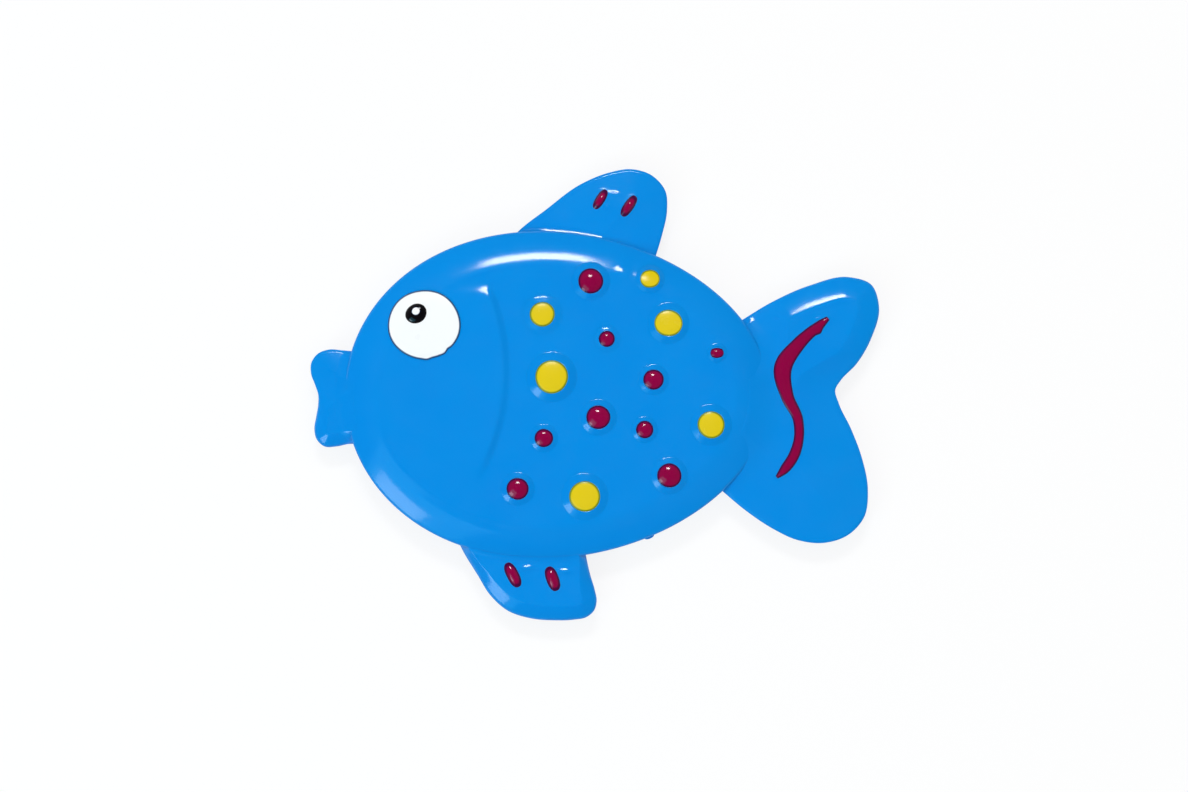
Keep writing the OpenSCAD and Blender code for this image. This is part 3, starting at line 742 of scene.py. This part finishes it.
def back_skin():
    """Back of the body, as a closed section carried round: counterbore, bore, boss and inner dish on the inside, then
    the flange, the outer dish that falls as (1 - share)^power, and the flat floor."""
    inside_r = [SOCKET_R + CHAMFER, SOCKET_R, SOCKET_R, BORE_R, BORE_R, BOSS_R, BOSS_R]
    inside_z = [0, CHAMFER, SOCKET_Z, SOCKET_Z, SOCKET_TOP, SOCKET_TOP, BACK_WALL]
    bx, by = circle_rows(inside_r)

    share = np.linspace(0, 1, DISH_ROWS)
    dx, dy = egg_rows(MARGIN_W - (MARGIN_W - FOOT_W) * share)
    dish_z = BACK_WALL + (Z_BACK - BACK_WALL) * share**MARGIN_POWER

    ex, ey = egg_rows([FOOT_W, 0])

    outer = np.linspace(0, 1, OUTER_ROWS)
    ox, oy = egg_rows(MARGIN_W * outer)
    outer_z = Z_BACK * (1 - outer) ** MARGIN_POWER

    floor_share = np.linspace(0, 1, FLOOR_ROWS)[1:-1, None]
    fx, fy = egg_rows([MARGIN_W])
    gx, gy = circle_rows([SOCKET_R + CHAMFER])
    floor_x = fx + (gx - fx) * floor_share
    floor_y = fy + (gy - fy) * floor_share

    grid = np.concatenate(
        [
            spread((bx, by, np.array(inside_z)[:, None])),
            spread((dx, dy, dish_z[:, None])),
            spread((ex, ey, Z_WELD)),
            spread((ox, oy, outer_z[:, None])),
            spread((floor_x, floor_y, 0.0)),
        ]
    )
    return surface(grid[::-1], close_rows=True)


# Poured pieces
# Width of a drop's darker edge colour: painted shade at its thin, steep edge, partly also the vinyl under it showing
# through
EDGE_SHADE_W = 0.5
DROP_COLUMNS = 144
DROP_ROWS = 20
DROP_SINK = 0.1

# Waves of a drop's outline: count, share of a place that shifts it, and height
FLOW_X = (2, 2.1, 0.012)
FLOW_Y = (3, 1.3, 0.008)

# Waves, run and lip of the eye's white: count, start and height, and height, angle and width of each bell curve
EYE_WAVE = (5, 1, 0.006)
EYE_BELLS = [(0.022, 304, 6), (-0.03, 313, 5), (0.02, 274, 5), (-0.012, 285, 6)]


def flow(angle, x, y):
    """Outline of a poured drop against its oval: two slow waves that differ from drop to drop."""
    along_x = FLOW_X[2] * np.cos(FLOW_X[0] * angle + FLOW_X[1] * x)
    return 1 + along_x + FLOW_Y[2] * np.cos(FLOW_Y[0] * angle + FLOW_Y[1] * y)


def ragged(angle, x, y):
    """Outline of the eye's white: slow waves, and a run and a lip of vinyl, as bell curves, at its lower edge."""
    bells = sum(high * np.exp(-(((np.degrees(angle) - at) / wide) ** 2)) for high, at, wide in EYE_BELLS)
    return 1 + EYE_WAVE[2] * np.cos(EYE_WAVE[0] * angle + EYE_WAVE[1]) + bells


def edge_shade_mask(share, radius, columns, width=EDGE_SHADE_W):
    """How near each point of a drop is to its thin edge, which its material darkens as painted shade. It is given for
    a row of shares of the way out, after a row of wall points and before a bottom and a top point."""
    rim = smoothstep(2 - 2 * (1 - share) * radius / width)
    return np.concatenate([np.ones(columns), np.repeat(rim.ravel(), columns), [1, 0]])


def quarter(rows):
    """Shares of the way out from 1 towards 0, which crowd at the edge as a quarter turn's cosine does."""
    return np.cos(np.linspace(0, np.pi / 2, rows))[:-1, None]


def dome(x, y, wide, high, rise, base, power, outline=flow, turn=0.0, rim_w=EDGE_SHADE_W):
    """Drop of poured vinyl: rise x (1 - share^2)^power over the base height at each place, inside a slightly uneven
    oval, with a short wall down into its pocket."""
    angle = around(DROP_COLUMNS)
    share = quarter(DROP_ROWS)
    ax = share * wide / 2 * np.cos(angle) * outline(angle, x, y)
    ay = share * high / 2 * np.sin(angle) * outline(angle, x, y)
    px = x + ax * math.cos(turn) - ay * math.sin(turn)
    py = y + ax * math.sin(turn) + ay * math.cos(turn)
    top = base(px, py) + rise * (1 - share**2) ** power
    low = base(px[:1], py[:1]) - DROP_SINK
    grid = np.concatenate([spread((px[:1], py[:1], low)), spread((px, py, top))])
    middle = base(np.array([x]), np.array([y]))[0]
    verts, faces = surface(grid, bottom=[x, y, middle - DROP_SINK], top=[x, y, middle + rise])
    return verts, faces, edge_shade_mask(share, wide / 2, angle.size, rim_w)


BAR_RISE = 0.75
BAR_BLUNT = 2.4
BAR_COLUMNS = 96
BAR_ROWS = 14
STRIPE_RISE = 0.5
STRIPE_POWER = 0.6
STRIPE_FULL = 1.6
STRIPE_ROWS = 21
STRIPE_RUN = (0.08, 0.022, 0.5)
MARK_SINK = 0.5


def bar(x, y, long, wide, turn, shape):
    """Pill of poured vinyl on a fin: a blunt oval whose height falls as 1 - share^2 over the fin's face, and a wall
    under it."""
    angle = around(BAR_COLUMNS)
    share = quarter(BAR_ROWS)
    reach = (np.abs(np.cos(angle)) ** BAR_BLUNT + np.abs(np.sin(angle)) ** BAR_BLUNT) ** (-1 / BAR_BLUNT)
    along = long * reach * np.sin(angle)
    across = wide * reach * np.cos(angle)
    px = x + share * (across * math.cos(turn) - along * math.sin(turn))
    py = y + share * (across * math.sin(turn) + along * math.cos(turn))
    face = fin_height(shape, px, py)
    top = face + BAR_RISE * (1 - share**2)
    grid = np.concatenate([spread((px[:1], py[:1], face[:1] - MARK_SINK)), spread((px, py, top))])
    middle = fin_height(shape, np.array([x]), np.array([y]))[0]
    verts, faces = surface(grid, bottom=[x, y, middle - MARK_SINK], top=[x, y, middle + BAR_RISE])
    return verts, faces, edge_shade_mask(share, wide, angle.size)


def stripe():
    """Ridge along a curved line whose width changes: its height falls as (1 - share^2)^power to each side, over the
    face of the tail, and is less where it is narrow. A run of vinyl widens its tail side near the top, as a bell curve
    of the way along."""
    along = np.gradient(STRIPE[:, :2], axis=0)
    along /= np.linalg.norm(along, axis=1)[:, None]
    across = np.stack([-along[:, 1], along[:, 0]], -1)
    share = np.sin(np.linspace(-np.pi / 2, np.pi / 2, STRIPE_ROWS))[:, None]
    place, length, wide = STRIPE_RUN
    run = wide * np.exp(-(((np.linspace(0, 1, len(STRIPE)) - place) / length) ** 2))
    half = STRIPE[:, 2] / 2 + np.where(share < 0, run, 0)
    at = STRIPE[None, :, :2] - (share * half)[..., None] * across
    x, y = at[..., 0], at[..., 1]
    face = fin_height(FINS["tail"], x, y)
    ridge = face + STRIPE_RISE * (1 - share**2) ** STRIPE_POWER * smoothstep(STRIPE[:, 2] / STRIPE_FULL)
    low = face - MARK_SINK
    first = spread((x[:1], y[:1], low[:1]))
    last = spread((x[-1:], y[-1:], low[-1:]))
    grid = np.concatenate([first, spread((x, y, ridge)), last])
    verts, faces = surface(grid, close_rows=True, close_columns=False)
    # Painted edge shade: how near each point is to the stripe's thin edge, which its material darkens
    rim = smoothstep(2 - 2 * (1 - np.abs(share)) * half / EDGE_SHADE_W)
    return verts, faces, np.concatenate([np.ones(len(STRIPE)), rim.ravel(), np.ones(len(STRIPE))])


FLASH_AT = math.radians(295.7)
FLASH_SIZE = (1.1, 0.45, 0.3)
FLASH_ROWS = 11
FLASH_COLUMNS = 24
SMALL_TURN = 0.01


def flash():
    """Nick of mould flash on the weld under the body: a small ellipsoid, long along the outline."""
    x, y = egg_point(FLASH_AT, 0)
    long, wide, high = FLASH_SIZE
    lat = np.linspace(-np.pi / 2, np.pi / 2, FLASH_ROWS)[1:-1, None]
    turn = around(FLASH_COLUMNS)
    ahead = np.subtract(egg_point(FLASH_AT + SMALL_TURN, 0), (x, y))
    ahead /= np.hypot(*ahead)
    along = long * np.cos(lat) * np.cos(turn)
    out = wide * np.cos(lat) * np.sin(turn)
    px = x + along * ahead[0] - out * ahead[1]
    py = y + along * ahead[1] + out * ahead[0]
    grid = spread((px, py, Z_WELD + high * np.sin(lat)))
    return surface(grid, bottom=[x, y, Z_WELD - high], top=[x, y, Z_WELD + high])


# Materials
def linear(colour):
    """Linear colour of an sRGB hex value."""
    parts = [int(colour[i : i + 2], 16) / 255 for i in (0, 2, 4)]
    return [c / 12.92 if c <= 0.04045 else ((c + 0.055) / 1.055) ** 2.4 for c in parts] + [1.0]


def add(tree, kind, settings=None, **inputs):
    """A node with its settings, and its sockets set to a value or linked to an output. A name such as _6 means the
    socket with that number."""
    node = tree.nodes.new(kind)
    for name, value in (settings or {}).items():
        setattr(node, name, value)
    for name, value in inputs.items():
        socket = node.inputs[int(name[1:])] if name[1:].isdigit() else node.inputs[name.replace("_", " ")]
        if isinstance(value, bpy.types.NodeSocket):
            tree.links.new(value, socket)
        else:
            socket.default_value = value
    return node


def blank(name):
    """A new node material with nothing in its tree."""
    material = bpy.data.materials.new(name)
    material.use_nodes = True
    material.node_tree.nodes.clear()
    return material, material.node_tree


# Vinyl: size of its clouds and haze, shares of the gloss between which the haze runs, and depth of the orange peel
CLOUD_SIZE = 14 * MM
HAZE_SIZE = 5 * MM
HAZE_SPAN = (0.8, 1.25)
PEEL_DEPTH = 0.1 * MM


def soft_pvc(name, colour, shade, gloss, edge=None, peel_mm=0.9, peel=0.05, glow=0.06):
    """Plasticised PVC, cast against a polished mould or poured and cured: full colour that pools slightly deeper in
    places, a wet-looking gloss, and a faint orange peel in the reflections. A poured drop has a darker edge colour
    where it thins out. This is painted shade standing in for the shade at its steep edge, and partly the vinyl under
    it showing through."""
    material, tree = blank(name)
    place = add(tree, "ShaderNodeTexCoord").outputs["Object"]
    cloud = add(tree, "ShaderNodeTexNoise", Vector=place, Scale=1 / CLOUD_SIZE, Detail=2.0, Roughness=0.5)
    tone = add(
        tree, "ShaderNodeMix", {"data_type": "RGBA"}, Factor=cloud.outputs["Fac"], _6=linear(colour), _7=linear(shade)
    ).outputs[2]
    # Painted edge shade: the edge colour darkens the drop where it thins out, standing in for the shade at its steep
    # edge and partly for the vinyl under it showing through
    if edge:
        rim = add(tree, "ShaderNodeAttribute", {"attribute_name": "rim"}).outputs["Fac"]
        tone = add(tree, "ShaderNodeMix", {"data_type": "RGBA"}, Factor=rim, _6=tone, _7=linear(edge)).outputs[2]
    haze = add(tree, "ShaderNodeTexNoise", Vector=place, Scale=1 / HAZE_SIZE, Detail=3.0, Roughness=0.6)
    rough = add(
        tree, "ShaderNodeMapRange", Value=haze.outputs["Fac"], From_Min=0.3, From_Max=0.7,
        To_Min=gloss * HAZE_SPAN[0], To_Max=gloss * HAZE_SPAN[1],
    )
    skin = add(tree, "ShaderNodeTexNoise", Vector=place, Scale=1 / (peel_mm * MM), Detail=1.0, Roughness=0.4)
    bump = add(tree, "ShaderNodeBump", Height=skin.outputs["Fac"], Strength=peel, Distance=PEEL_DEPTH)
    shader = add(
        tree, "ShaderNodeBsdfPrincipled", Base_Color=tone, Roughness=rough.outputs["Result"],
        IOR=1.42, Subsurface_Weight=glow, Subsurface_Radius=(1.0, 1.0, 1.0), Subsurface_Scale=0.6 * MM,
        Normal=bump.outputs["Normal"],
    )
    add(tree, "ShaderNodeOutputMaterial", Surface=shader.outputs["BSDF"])
    return material


# The last colour given for each poured vinyl is its darker edge colour: painted shade at the drop's thin edge
BLUE = soft_pvc("soft_pvc_blue", "008fe4", "0089e0", 0.11)
YELLOW = soft_pvc("soft_pvc_yellow", "e9cc00", "e2c700", 0.24, "7f9018")
MAROON = soft_pvc("soft_pvc_maroon", "960245", "8a023c", 0.09, "45033c")
WHITE = soft_pvc("soft_pvc_white", "fbfbfb", "f8f9f9", 0.34, "1d4a78", peel=0.02)
BLACK = soft_pvc("soft_pvc_black", "0d0b10", "08070a", 0.07, "050408", glow=0.0)


def natural_polyethylene():
    """Natural polyethylene, injection moulded: milky, waxy and slightly grained, with soft highlights."""
    material, tree = blank("natural_polyethylene")
    place = add(tree, "ShaderNodeTexCoord").outputs["Object"]
    grain = add(tree, "ShaderNodeTexNoise", Vector=place, Scale=1 / (0.5 * MM), Detail=2.0)
    cloud = add(tree, "ShaderNodeTexNoise", Vector=place, Scale=1 / (6 * MM), Detail=2.0)
    tone = add(
        tree, "ShaderNodeMix", {"data_type": "RGBA"}, Factor=cloud.outputs["Fac"],
        _6=linear("ebe9e2"), _7=linear("dedcd3"),
    ).outputs[2]
    bump = add(tree, "ShaderNodeBump", Height=grain.outputs["Fac"], Strength=0.15, Distance=0.1 * MM)
    shader = add(
        tree, "ShaderNodeBsdfPrincipled", Base_Color=tone, Roughness=0.42, IOR=1.51,
        Subsurface_Weight=0.25, Subsurface_Radius=(1.0, 0.95, 0.9), Subsurface_Scale=1.0 * MM,
        Normal=bump.outputs["Normal"],
    )
    add(tree, "ShaderNodeOutputMaterial", Surface=shader.outputs["BSDF"])
    return material


def polyester_film():
    """Polyester film, stretched and slit: smooth, shiny and faintly streaked along its length."""
    material, tree = blank("polyester_film")
    place = add(tree, "ShaderNodeTexCoord").outputs["Object"]
    along = add(tree, "ShaderNodeMapping", Vector=place, Scale=(0.1, 1.0, 1.0))
    streak = add(tree, "ShaderNodeTexNoise", Vector=along.outputs["Vector"], Scale=1 / (0.3 * MM), Detail=2.0)
    tone = add(
        tree, "ShaderNodeMix", {"data_type": "RGBA"}, Factor=streak.outputs["Fac"],
        _6=linear("dfe3e4"), _7=linear("cdd3d5"),
    ).outputs[2]
    shader = add(tree, "ShaderNodeBsdfPrincipled", Base_Color=tone, Roughness=0.15, IOR=1.6)
    add(tree, "ShaderNodeOutputMaterial", Surface=shader.outputs["BSDF"])
    return material


POLYETHYLENE = natural_polyethylene()
FILM = polyester_film()

# Front of the body, with the nubs round its spots
skin = piece("front_skin", *join([front_skin()] + [nub(name) for name in SPOTS]), BLUE, "blue_vinyl")
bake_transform(skin)
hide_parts("front_fold", "front_crown")

# Fins, tail and lips, and the back
fins = piece("fins_front", *join([front_fin(shape) for shape in FINS.values()] + [flash()]), BLUE, "blue_vinyl")
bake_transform(fins)
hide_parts("front_rim")
back = piece("back_skin", *join([back_skin()] + [back_fin(shape) for shape in FINS.values()]), BLUE, "blue_vinyl")
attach(back, "shell")
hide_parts("back_shell")

# Spots, some of which flowed wider than high: their width and height as shares of the diameter
OVALS = {"yellow_spot_1": (1.1, 0.96), "yellow_spot_3": (1.07, 0.98), "maroon_spot_3": (1.2, 0.8)}
for names, material, slot, rise, power in (
    (YELLOW_SPOTS, YELLOW, "yellow_vinyl", 0.07, 0.6),
    (MAROON_SPOTS, MAROON, "maroon_vinyl", 0.145, 1.0),
):
    for name in names:
        x, y, d = SPOTS[name]
        wide, high = OVALS.get(name, (1, 1))
        verts, faces, rim = dome(x, y, d * wide, d * high, rise * d, seat(name), power)
        spot = piece(name + "_drop", verts, faces, material, slot, rim)
        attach(spot, "crown")
        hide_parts(name)

# Eye
EYE_T = 0.6
PUPIL_T = 0.75
GLINT_T = 0.2
PUPIL_TURN = math.radians(25)
PUPIL_WIDER = 1.05
PUPIL_POWER = 0.6
# Width of the painted edge shade on the eye's drops, at most a share of their width
EYE_EDGE_SHADE_W = 0.45
EYE_EDGE_SHADE_SHARE = 0.06
eye = oval("eye_white")
pupil = oval("eye_pupil")
pupil = (*pupil[:2], pupil[2] * PUPIL_WIDER, pupil[3])
glint = oval("eye_glint")


def eye_height(x, y):
    """Top of the eye's white, level with its thickness over the crown."""
    return crown_height(x, y) + EYE_T


def pupil_height(x, y):
    """Top of the pupil: its thickness x (1 - share^2)^power over the eye's white."""
    share = np.hypot((x - pupil[0]) / (pupil[2] / 2), (y - pupil[1]) / (pupil[3] / 2))
    return eye_height(x, y) + PUPIL_T * np.clip(1 - share**2, 0, 1) ** PUPIL_POWER


for name, place, rise, base, power, outline, turn, material, slot in (
    ("eye_white", eye, EYE_T, crown_height, 0.16, ragged, 0, WHITE, "white_vinyl"),
    ("eye_pupil", pupil, PUPIL_T, eye_height, PUPIL_POWER, flow, PUPIL_TURN, BLACK, "black_vinyl"),
    ("eye_glint", glint, GLINT_T, pupil_height, 0.5, flow, PUPIL_TURN, WHITE, "white_vinyl"),
):
    rim_w = min(EYE_EDGE_SHADE_W, EYE_EDGE_SHADE_SHARE * place[2])
    verts, faces, rim = dome(*place, rise, base, power, outline, turn, rim_w)
    layer = piece(name + "_drop", verts, faces, material, slot, rim)
    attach(layer, "crown")
    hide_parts(name)

# Bars and stripe
for kind in ("dorsal", "belly"):
    for i, place in enumerate(FINS[kind]["bars"], 1):
        node = "%s_bar_%d" % (kind, i)
        verts, faces, rim = bar(*place, FINS[kind])
        drop = piece(node + "_drop", verts, faces, MAROON, "maroon_vinyl", rim)
        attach(drop, "shell")
        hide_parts(node)
verts, faces, rim = stripe()
ridge = piece("tail_stripe_ridge", verts, faces, MAROON, "maroon_vinyl", rim)
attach(ridge, "shell")
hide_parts("tail_stripe")

# CAD nodes that stay
for node in ("squeaker_plug", "reed_seat", "reed_clamp", "squeaker_cap"):
    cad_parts[node].data.materials.clear()
    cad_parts[node].data.materials.append(POLYETHYLENE)
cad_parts["reed"].data.materials.clear()
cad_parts["reed"].data.materials.append(FILM)

# Floor: matt white paper. A straight or mirrored look at it meets mostly even white, and a share of the shadow on it
FLOOR_HALF = 1.5
FLOOR_GLOW = 0.85
corners = np.array([(-1, -1, 0), (1, -1, 0), (1, 1, 0), (-1, 1, 0)]) * FLOOR_HALF
floor_mesh = bpy.data.meshes.new("floor")
floor_mesh.from_pydata(corners.tolist(), [], [(0, 1, 2, 3)])
floor = bpy.data.objects.new("floor", floor_mesh)
bpy.context.scene.collection.objects.link(floor)
floor_material, tree = blank("white_paper")
light_path = add(tree, "ShaderNodeLightPath").outputs
paper = add(tree, "ShaderNodeBsdfDiffuse", Color=linear("f8f8f8"))
glow = add(tree, "ShaderNodeEmission", Color=(1, 1, 1, 1), Strength=1.0)
sight = add(tree, "ShaderNodeMath", _0=light_path["Is Camera Ray"], _1=light_path["Is Glossy Ray"])
sight = add(tree, "ShaderNodeMath", _0=sight.outputs[0], _1=light_path["Is Transmission Ray"])
share = add(tree, "ShaderNodeMath", {"operation": "MULTIPLY"}, _0=sight.outputs[0], _1=FLOOR_GLOW)
mixed = add(tree, "ShaderNodeMixShader", Fac=share.outputs[0], _1=paper.outputs[0], _2=glow.outputs[0])
add(tree, "ShaderNodeOutputMaterial", Surface=mixed.outputs[0])
floor_mesh.materials.append(floor_material)

# World: paler towards the horizon, dark overhead
world = bpy.data.worlds.new("studio")
bpy.context.scene.world = world
world.use_nodes = True
tree = world.node_tree
tree.nodes.clear()
up = add(tree, "ShaderNodeSeparateXYZ", Vector=add(tree, "ShaderNodeTexCoord").outputs["Generated"])
level = add(
    tree, "ShaderNodeMapRange", Value=up.outputs["Z"], From_Min=0.0, From_Max=0.9, To_Min=0.3, To_Max=0.03
)
sky = add(tree, "ShaderNodeBackground", Color=(0.97, 0.99, 1, 1), Strength=level.outputs["Result"])
add(tree, "ShaderNodeOutputWorld", Surface=sky.outputs[0])


# Lamps
def softbox(name, azimuth, zenith, size, radiance, colour, distance=0.8):
    """Rectangular area lamp that faces the object. Azimuth is anticlockwise from the tail and zenith is measured from
    straight up, in degrees; size is its width and height in degrees as the object sees it."""
    a, z = math.radians(azimuth), math.radians(zenith)
    way = np.array([math.sin(z) * math.cos(a), math.sin(z) * math.sin(a), math.cos(z)])
    lamp = bpy.data.lights.new(name, "AREA")
    lamp.shape = "RECTANGLE"
    lamp.size = 2 * distance * math.tan(math.radians(size[0] / 2))
    lamp.size_y = 2 * distance * math.tan(math.radians(size[1] / 2))
    lamp.energy = radiance * math.pi * lamp.size * lamp.size_y
    lamp.color = colour
    obj = bpy.data.objects.new(name, lamp)
    bpy.context.scene.collection.objects.link(obj)
    obj.location = way * distance
    obj.rotation_euler = (z, 0, a + math.pi / 2)
    return obj


softbox("key_softbox", 93, 34, (15, 8), 30, (1, 1, 1), distance=2.4)
softbox("window_lower_left", 226, 44, (32, 32), 1.5, (0.15, 0.75, 1))
softbox("window_middle", 222, 53, (17, 17), 4.5, (0.75, 0.9, 1))

# Broad light from above, kept out of reflections, as a dark ceiling over the toy keeps them in the photograph
overhead = softbox("overhead_fill", 90, 0, (80, 80), 1.16, (1, 0.95, 0.92), distance=1.4)
overhead.visible_glossy = False

# Camera: a long lens almost straight over the front, a little towards the belly
CAMERA_TILT = math.radians(1.5)
CAMERA_REACH = 1.0
PIXEL = 0.2195
PHOTO_W = 1188
FRAME_W = PIXEL * PHOTO_W * MM
AIM = np.array([-0.2, -0.35, 7]) * MM
camera = bpy.data.cameras.new("camera")
camera.sensor_width = 36
camera.lens = camera.sensor_width * CAMERA_REACH / FRAME_W
viewer = bpy.data.objects.new("camera", camera)
bpy.context.scene.collection.objects.link(viewer)
viewer.location = AIM + CAMERA_REACH * np.array([0, -math.sin(CAMERA_TILT), math.cos(CAMERA_TILT)])
viewer.rotation_euler = (CAMERA_TILT, 0, 0)
bpy.context.scene.camera = viewer
bpy.context.scene.view_settings.view_transform = "Standard"
